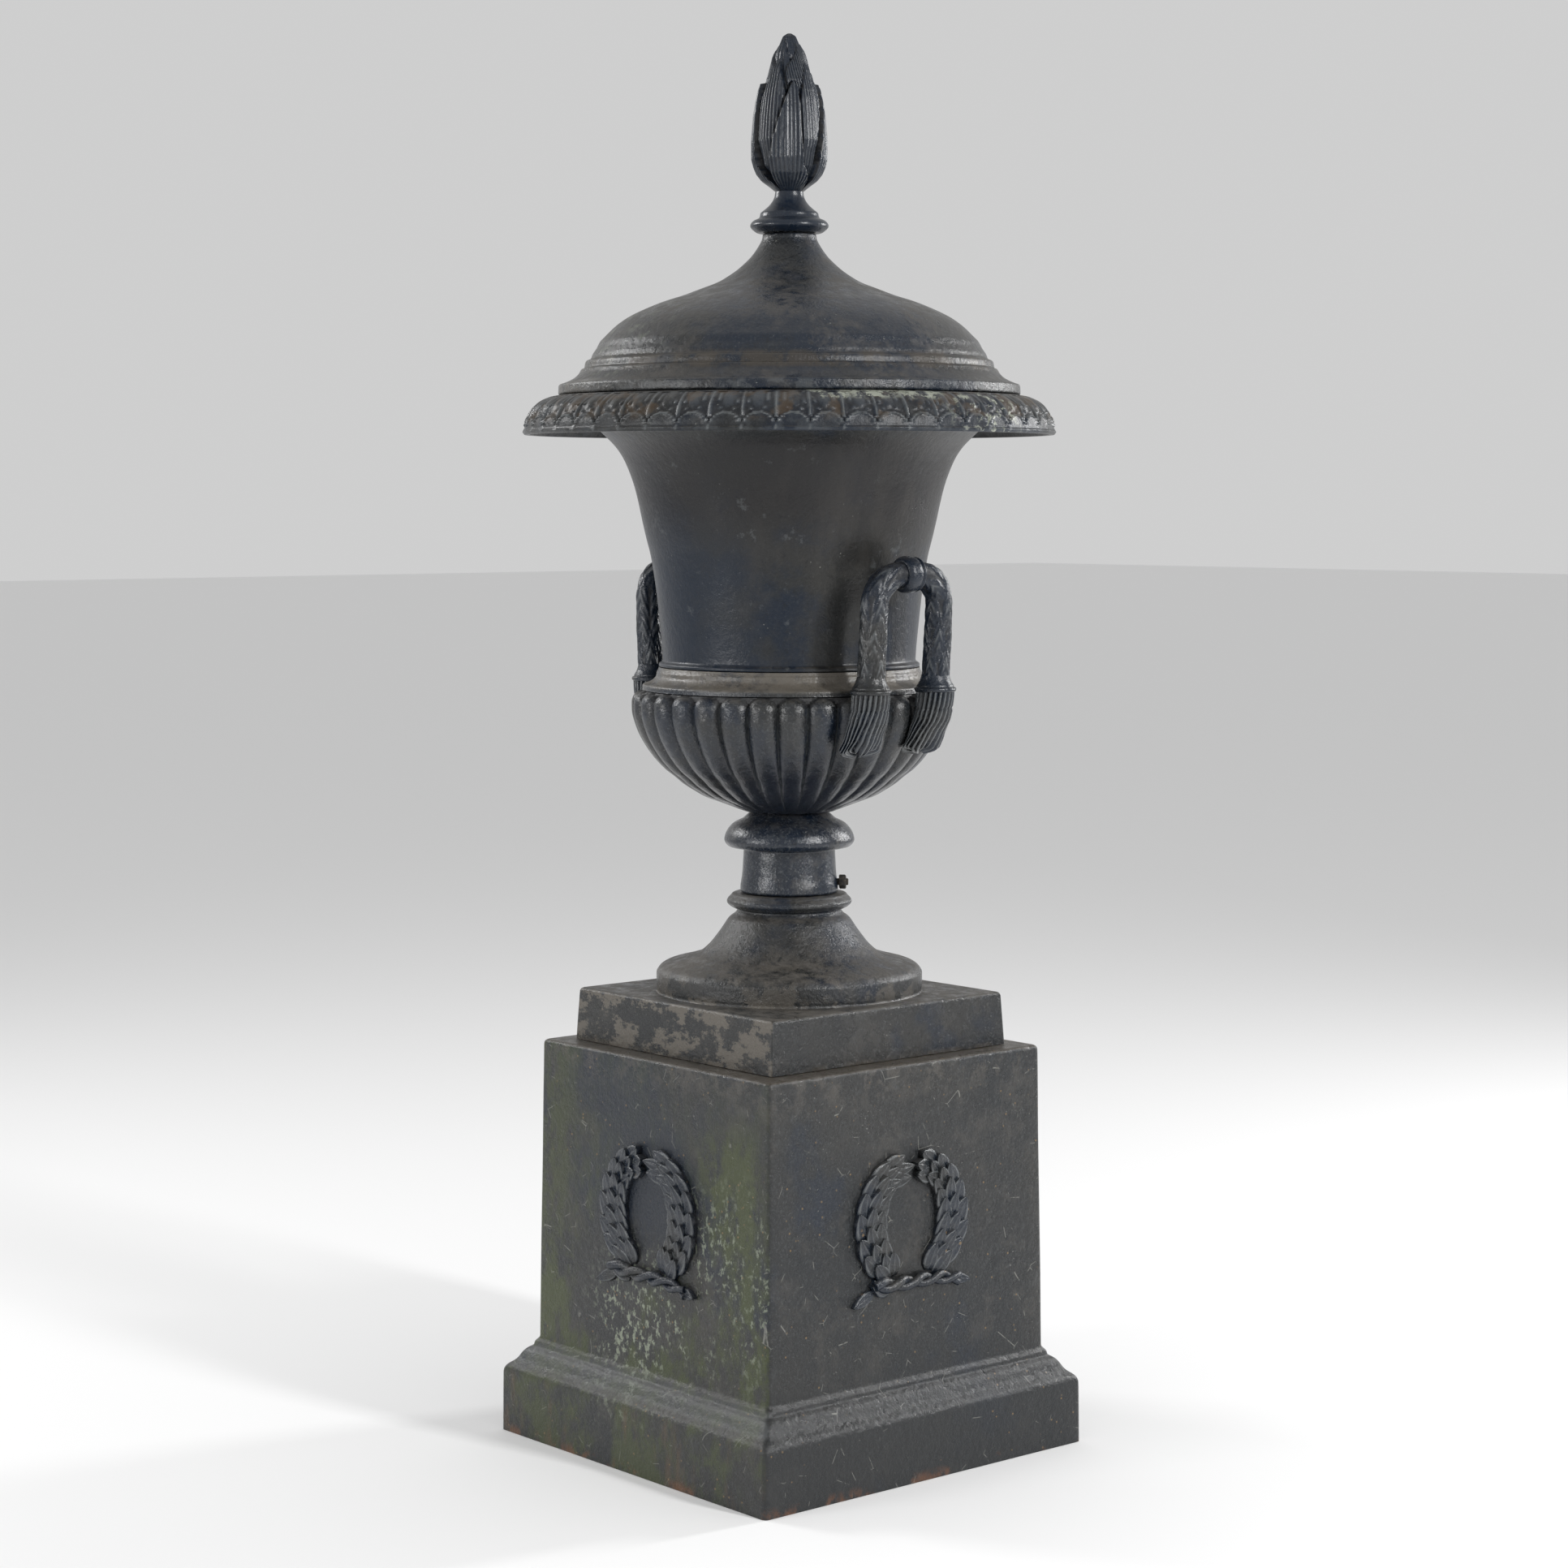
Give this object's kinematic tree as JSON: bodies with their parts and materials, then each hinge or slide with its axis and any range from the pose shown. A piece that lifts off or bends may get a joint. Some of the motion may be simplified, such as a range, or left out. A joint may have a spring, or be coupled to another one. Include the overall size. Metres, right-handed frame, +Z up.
{
  "type": "lidded garden urn on pedestal",
  "caption": "Cast iron campana garden urn with domed lid, bud finial and staple handles, on a square pedestal with laurel wreaths.",
  "frame": {"origin": "on the ground, under the middle of the pedestal's underside", "axes": "+Z up along the urn's axis; +X square to a pedestal face, through handle_right; +Y completes the right-handed frame"},
  "size_m": [0.6596, 0.6596, 1.754],
  "materials": {
    "pedestal_iron": "weathered dark grey paint with green algae and pale lichen",
    "painted_iron": "weathered blue-grey paint with brown dust on upward faces",
    "rusted_bolt": "blackened and rusted"
  },
  "bodies": {
    "root": {"pedestal": "pedestal_iron", "foot": "painted_iron", "stem": "painted_iron", "stem_bolt": "rusted_bolt", "bowl": "painted_iron", "body": "painted_iron", "handle_right": "painted_iron", "handle_left": "painted_iron", "lid": "painted_iron", "finial": "painted_iron"}
  },
  "joints": []
}
